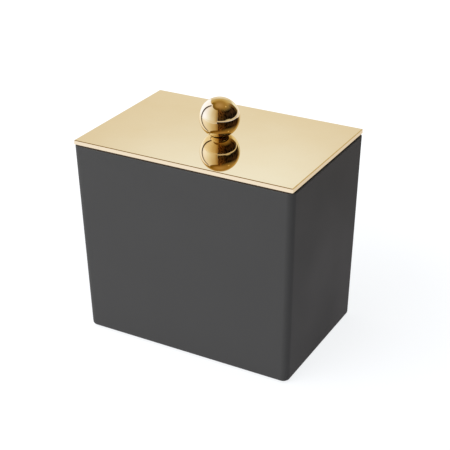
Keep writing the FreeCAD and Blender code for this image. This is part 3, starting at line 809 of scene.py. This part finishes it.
def makeFeet():
    low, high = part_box("foot_back_right")
    values = dict(gripFoot, Radius=(high.x - low.x) / 2, Top=high.z, Material=footSilicone,
                  **footPlace())
    piece = growPiece("gripFeet", footTree(), values)
    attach(piece, "tub")
    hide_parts("foot_front_left", "foot_front_right", "foot_back_left", "foot_back_right")
    print("feet:", len(piece.data.polygons), "faces")


makeFeet()


carriedOver = {
    "lid_insert": moulded("mouldedBlackAbs", "insert"),
    # the gasket's brown is a painted reflection of the gold lid in the gap
    "lid_gasket": moulded("siliconeGasket", "gasket"),
    "lid_adhesive": moulded("acrylicAdhesiveFilm", "adhesive"),
    "knob_washer": zinc,
}
for node, material in carriedOver.items():
    nodes[node].data.materials.clear()
    nodes[node].data.materials.append(material)
print("carried-over nodes painted")


studio = {
    "floorRadius": 2.0,
    "floorSteps": 96,
    "floorDrop": 0.02 * mm,
    "floorTint": (0.78, 0.80, 0.83),
    "seenWhite": (1.125, 1.14, 1.155),  # comes out white once the lit floor's share is mixed in
    "mirroredWhite": (1.0, 0.95, 0.97),
    "knobHeight": 125 * mm,
    "shadowShare": 0.26,
    "fadeFrom": 120 * mm,  # where the shadow's share starts and ends to fade
    "fadeTo": 320 * mm,
    "fillBright": 0.55,
    "fillDim": 0.12,
    "fillWay": (-0.77, -0.64, 0.0),  # from where the fill is brightest
    "tintFrom": 8.0,  # the elevation from which panels take their tint
    "patchScale": (0.11, 0.06, 1.0),  # patches of clutter per degree round and up
    "patchLow": 0.35,
    "patchHigh": 0.7,
    "patchMost": 3.2,
}


# what polished faces mirror, a painted reflection that glossy rays alone see and that lights
# nothing: elevation of each stop in degrees and its linear colour
room = [
    (0, (0.84, 0.72, 0.54)), (8, (0.66, 0.56, 0.38)), (24, (0.62, 0.50, 0.28)),
    (34, (0.62, 0.46, 0.20)), (46, (0.56, 0.37, 0.12)), (58, (0.40, 0.23, 0.05)),
    (68, (0.38, 0.21, 0.05)), (90, (0.50, 0.30, 0.105)),
]
# the panels are painted reflections and highlights: diffusers, windows, a spot and a dark room that
# only polished faces see and that light nothing
# each panel in degrees: azimuths of its ends, its lower edge and its top at both ends, softness of
# ends, of top and of bottom, its colours from end to end, and the tint it takes towards its top;
# a bow curves the top, a lean swings the panel as it rises, clutter darkens it unevenly
panels = {
    "backdropGlow": {
        "ends": (-170, -132), "edges": (-10, 28, 28), "soft": (6, 3, 1),
        "tones": [(0, (0.77, 0.665, 0.51)), (0.5, (0.85, 0.785, 0.665)), (1, (0.765, 0.66, 0.51))]},
    "backdropBright": {
        "ends": (-157, -145), "edges": (23.0, 28, 28), "soft": (3.5, 3, 2.2),
        "tones": [(0, (0.95, 0.95, 0.93)), (1, (0.97, 0.98, 0.98))]},
    "overPanels": {
        "ends": (-114, 22), "edges": (50, 68, 71), "soft": (10, 6, 1),
        "tones": [(0, (0.24, 0.13, 0.012)), (1, (0.18, 0.08, 0.008))]},
    "darkRoom": {
        "ends": (17, 166), "edges": (-1, 70, 42), "soft": (1.5, 17, 1), "clutter": 0.88,
        "tones": [(0, (0.044, 0.021, 0.006)), (0.14, (0.034, 0.016, 0.004)),
                  (0.3, (0.011, 0.006, 0.002)), (0.5, (0.008, 0.005, 0.003)),
                  (0.84, (0.018, 0.010, 0.005)), (1, (0.09, 0.055, 0.014))],
        "tint": (3.0, 2.1, 1.3)},
    "backWindow": {
        "ends": (167, 194), "edges": (1, 20, 12), "soft": (5, 6, 3),
        "tones": [(0, (0.98, 0.98, 0.86)), (1, (0.98, 0.98, 0.86))]},
    "backWindowEnd": {
        "ends": (-193, -168), "edges": (1, 16, 8), "soft": (5, 6, 3),
        "tones": [(0, (0.98, 0.98, 0.86)), (1, (0.98, 0.98, 0.86))]},
    "tableStand": {
        "ends": (64, 88), "edges": (-2, 3, 3), "soft": (8, 2, 1),
        "tones": [(0, (0.60, 0.50, 0.30)), (1, (0.60, 0.48, 0.28))]},
    "ceilingSpot": {
        "ends": (112, 126), "edges": (58, 63, 63), "soft": (3, 1.5, 1.5),
        "tones": [(0, (0.80, 0.55, 0.22)), (1, (0.80, 0.55, 0.22))]},
    "sideDiffuser": {
        "ends": (-138, -88), "edges": (-10, 0, 55.5), "soft": (1, 2.5, 1), "bow": 0.5,
        "tones": [(0, (1.12, 1.22, 1.52)), (1, (1.12, 1.20, 1.48))], "tint": (0.95, 0.85, 0.75)},
    "frontDiffuser": {
        "ends": (-90, 16), "edges": (-10, 58.6, 57.6), "soft": (0.8, 1.3, 1),
        "tones": [(0, (1.12, 1.17, 1.42)), (0.28, (1.12, 1.16, 1.42)), (0.50, (0.98, 0.99, 0.98)),
                  (0.66, (0.84, 0.75, 0.61)), (0.82, (0.72, 0.60, 0.40)),
                  (0.93, (0.55, 0.38, 0.18)), (1, (0.32, 0.19, 0.06))],
        "tint": (0.79, 0.67, 0.47)},
    "seam": {
        "ends": (-95, -84), "edges": (-10, 52, 55), "soft": (2, 2, 1), "lean": 10,
        "tones": [(0, (0.08, 0.045, 0.02)), (1, (0.08, 0.045, 0.02))]},
}
# the same for the table, a painted reflection on the floor that only polished faces see, whose
# elevations are those of a line from the knob down to it
table = {
    "behindRight": {
        "ends": (108, 174), "edges": (-31, 10, 10), "soft": (10, 1, 4),
        "tones": [(0, (0.80, 0.72, 0.66)), (1, (0.84, 0.76, 0.70))]},
    "underDiffusers": {
        "ends": (-140, 14), "edges": (-17, 0, 0), "soft": (4, 1, 3),
        "tones": [(0, (1.12, 1.18, 1.45)), (0.5, (1.08, 1.10, 1.20)), (0.75, (0.84, 0.74, 0.56)),
                  (1, (0.62, 0.46, 0.26))]},
    "darkFront": {
        "ends": (14, 140), "edges": (-18, -6.5, -10), "soft": (3, 1, 2),
        "tones": [(0, (0.02, 0.01, 0.004)), (1, (0.03, 0.015, 0.006))]},
    "farEdge": {
        "ends": (6, 144), "edges": (-6.5, 0, 0), "soft": (5, 1, 1),
        "tones": [(0, (0.64, 0.46, 0.25)), (0.6, (0.60, 0.44, 0.24)), (1, (0.62, 0.48, 0.30))]},
    "seamFoot": {
        "ends": (-95, -84), "edges": (-17, 0, 0), "soft": (2, 1, 1),
        "tones": [(0, (0.08, 0.045, 0.02)), (1, (0.08, 0.045, 0.02))]},
}


def setStops(ramp, tones):
    stops = ramp.color_ramp.elements
    while len(stops) < len(tones):
        stops.new(1)
    for stop, (place, tone) in zip(stops, tones):
        stop.position = place
        stop.color = tone + (1,)


def layPanel(tree, below, azimuth, elevation, panel):
    # mixes one panel over what is already there
    first, last = panel["ends"]
    low, highFirst, highLast = panel["edges"]
    side, brim, sill = panel["soft"]
    if "lean" in panel:
        share = addNode(tree, "ShaderNodeMath", {0: elevation, 1: highLast}, operation="DIVIDE")
        swing = addNode(tree, "ShaderNodeMath", {0: share, 1: share}, operation="MULTIPLY")
        azimuth = addNode(tree, "ShaderNodeMath", {0: swing, 1: -panel["lean"], 2: azimuth},
                          operation="MULTIPLY_ADD")
    along = addNode(tree, "ShaderNodeMapRange", {
        "Value": azimuth, "From Min": first, "From Max": last})
    bow = addNode(tree, "ShaderNodeMath", {0: along, 1: panel.get("bow", 1.0)}, operation="POWER")
    top = addNode(tree, "ShaderNodeMapRange",
                  {"Value": bow, "To Min": highFirst, "To Max": highLast})
    under = addNode(tree, "ShaderNodeMath", {0: top, 1: elevation}, operation="SUBTRACT")
    # one soft edge each: the two ends, the bottom and the top
    mask = 1.0
    for value, outside, inside in ((azimuth, first - side, first + side),
                                   (azimuth, last + side, last - side),
                                   (elevation, low - sill, low + sill), (under, -brim, brim)):
        edge = addNode(tree, "ShaderNodeMapRange",
                       {"Value": value, "From Min": outside, "From Max": inside},
                       interpolation_type="SMOOTHSTEP")
        mask = addNode(tree, "ShaderNodeMath", {0: mask, 1: edge}, operation="MULTIPLY")
    ramp = addNode(tree, "ShaderNodeValToRGB", {"Fac": along})
    setStops(ramp, panel["tones"])
    height = addNode(tree, "ShaderNodeMapRange", {
        "Value": elevation, "From Min": studio["tintFrom"], "From Max": max(highFirst, highLast)})
    tint = panel.get("tint", (1.0, 1.0, 1.0)) + (1,)
    tinted = addNode(tree, "ShaderNodeMix", {0: height, 6: ramp, 7: tint}, data_type="RGBA",
                     blend_type="MULTIPLY")
    colour = tinted.outputs[2]
    if "clutter" in panel:
        # painted reflection of shelves and stands in the dark: uneven patches taller than they are
        # wide
        way = addNode(tree, "ShaderNodeCombineXYZ", {"X": azimuth, "Y": elevation})
        tall = addNode(tree, "ShaderNodeMapping", {"Vector": way, "Scale": studio["patchScale"]})
        patches = addNode(tree, "ShaderNodeTexNoise", {"Vector": tall, "Scale": 1.0, "Detail": 2.0})
        depth = addNode(tree, "ShaderNodeMapRange", {
            "Value": patches, "From Min": studio["patchLow"], "From Max": studio["patchHigh"],
            "To Min": 1 - panel["clutter"], "To Max": studio["patchMost"]})
        colour = addNode(tree, "ShaderNodeVectorMath", {0: colour, 3: depth},
                         operation="SCALE").outputs[0]
    return addNode(tree, "ShaderNodeMix", {0: mask, 6: below, 7: colour},
                   data_type="RGBA").outputs[2]


def compass(tree, x, y):
    # degrees round from the front, growing towards the right
    front = addNode(tree, "ShaderNodeMath", {0: y, 1: -1.0}, operation="MULTIPLY")
    turn = addNode(tree, "ShaderNodeMath", {0: x, 1: front}, operation="ARCTAN2")
    return addNode(tree, "ShaderNodeMath", {0: turn}, operation="DEGREES")


def shinyRays(tree, path):
    # 1 for the rays that leave a polished or clear face
    return addNode(tree, "ShaderNodeMath",
                   {0: path["Is Glossy Ray"], 1: path["Is Transmission Ray"]}, operation="MAXIMUM")


def makeFloor():
    disc = bmesh.new()
    bmesh.ops.create_circle(disc, cap_ends=True, segments=studio["floorSteps"],
                            radius=studio["floorRadius"])
    bmesh.ops.translate(disc, verts=disc.verts, vec=(0, 0, -studio["floorDrop"]))
    mesh = bpy.data.meshes.new("floor")
    disc.to_mesh(mesh)
    disc.free()
    floor = newObject("floor", mesh)
    material, tree = newMaterial("paleFloor")
    path = addNode(tree, "ShaderNodeLightPath").outputs
    shiny = shinyRays(tree, path)
    # painted reflection: polished faces see a white table that ends in front of a dim room
    place = addNode(tree, "ShaderNodeTexCoord").outputs["Object"]
    reach = addNode(tree, "ShaderNodeVectorMath", {0: place}, operation="LENGTH").outputs["Value"]
    spot = addNode(tree, "ShaderNodeSeparateXYZ", {0: place}).outputs
    azimuth = compass(tree, spot["X"], spot["Y"])
    dip = addNode(tree, "ShaderNodeMath", {0: -studio["knobHeight"], 1: reach}, operation="ARCTAN2")
    elevation = addNode(tree, "ShaderNodeMath", {0: dip}, operation="DEGREES")
    white = dict(zip(("Red", "Green", "Blue"), studio["mirroredWhite"]))
    mirrored = addNode(tree, "ShaderNodeCombineColor", white).outputs[0]
    for panel in table.values():
        mirrored = layPanel(tree, mirrored, azimuth, elevation, panel)
    tone = addNode(tree, "ShaderNodeMix", {0: shiny, 6: studio["seenWhite"] + (1,), 7: mirrored},
                   data_type="RGBA")
    lit = addNode(tree, "ShaderNodeBsdfDiffuse", {"Color": studio["floorTint"] + (1,)})
    glow = addNode(tree, "ShaderNodeEmission", {"Color": tone.outputs[2]})
    # the shadow's share fades out before the floor meets the white background
    bare = addNode(tree, "ShaderNodeMapRange", {
        "Value": reach, "From Min": studio["fadeFrom"], "From Max": studio["fadeTo"],
        "To Min": 1 - studio["shadowShare"], "To Max": 1.0}, interpolation_type="SMOOTHSTEP")
    plain = addNode(tree, "ShaderNodeMath", {0: path["Is Camera Ray"], 1: bare},
                    operation="MULTIPLY")
    share = addNode(tree, "ShaderNodeMath", {0: plain, 1: shiny}, operation="MAXIMUM")
    both = addNode(tree, "ShaderNodeMixShader", {0: share, 1: lit, 2: glow})
    addNode(tree, "ShaderNodeOutputMaterial", {"Surface": both})
    mesh.materials.append(material)


def makeWorld():
    # white to the camera, a soft fill for rough faces, and for polished ones a painted reflection
    # of diffusers in a dim warm room, which lights nothing
    world = bpy.data.worlds.new("whiteRoom")
    bpy.context.scene.world = world
    world.use_nodes = True
    tree = world.node_tree
    tree.nodes.clear()
    path = addNode(tree, "ShaderNodeLightPath").outputs
    sky = addNode(tree, "ShaderNodeTexCoord").outputs["Generated"]
    way = addNode(tree, "ShaderNodeSeparateXYZ", {0: sky}).outputs
    azimuth = compass(tree, way["X"], way["Y"])
    rise = addNode(tree, "ShaderNodeMath", {0: way["Z"]}, operation="ARCSINE")
    elevation = addNode(tree, "ShaderNodeMath", {0: rise}, operation="DEGREES")
    share = addNode(tree, "ShaderNodeMath", {0: elevation, 1: 90.0}, operation="DIVIDE")
    ramp = addNode(tree, "ShaderNodeValToRGB", {"Fac": share})
    setStops(ramp, [(height / 90, tone) for height, tone in room])
    mirrored = ramp.outputs["Color"]
    for panel in panels.values():
        mirrored = layPanel(tree, mirrored, azimuth, elevation, panel)
    # rough faces get a soft fill that is dimmer from the back right
    facing = addNode(tree, "ShaderNodeVectorMath", {0: sky, 1: studio["fillWay"]},
                     operation="DOT_PRODUCT")
    fill = addNode(tree, "ShaderNodeMapRange", {
        "Value": facing.outputs["Value"], "From Min": -1.0, "From Max": 1.0,
        "To Min": studio["fillDim"], "To Max": studio["fillBright"]})
    unlit = addNode(tree, "ShaderNodeMix", {0: shinyRays(tree, path), 6: fill, 7: mirrored},
                    data_type="RGBA")
    level = addNode(tree, "ShaderNodeMix",
                    {0: path["Is Camera Ray"], 6: unlit.outputs[2], 7: (1, 1, 1, 1)},
                    data_type="RGBA")
    shade = addNode(tree, "ShaderNodeBackground", {"Color": level.outputs[2]})
    addNode(tree, "ShaderNodeOutputWorld", {"Surface": shade})


lampAim = Vector((0, 0, 60)) * mm
lamps = {
    # name: azimuth, elevation, distance in metres, width, height, watts
    "frontLamp": (-33, 34, 1.5, 1.5, 1.2, 17.3),
    "overheadLamp": (-60, 78, 1.6, 1.4, 1.4, 12),
}


def makeLamp(name):
    azimuth, elevation, distance, width, height, watts = lamps[name]
    data = bpy.data.lights.new(name, "AREA")
    data.shape = "RECTANGLE"
    data.size, data.size_y, data.energy = width, height, watts
    lamp = newObject(name, data)
    a, e = radians(azimuth), radians(elevation)
    way = Vector((sin(a) * cos(e), -cos(a) * cos(e), sin(e)))
    lamp.location = lampAim + way * distance
    lamp.rotation_euler = way.to_track_quat("Z", "Y").to_euler()
    lamp.visible_glossy = False
    lamp.visible_camera = False


makeFloor()
makeWorld()
for name in lamps:
    makeLamp(name)
bpy.context.scene.view_settings.view_transform = "Standard"
print("studio set")
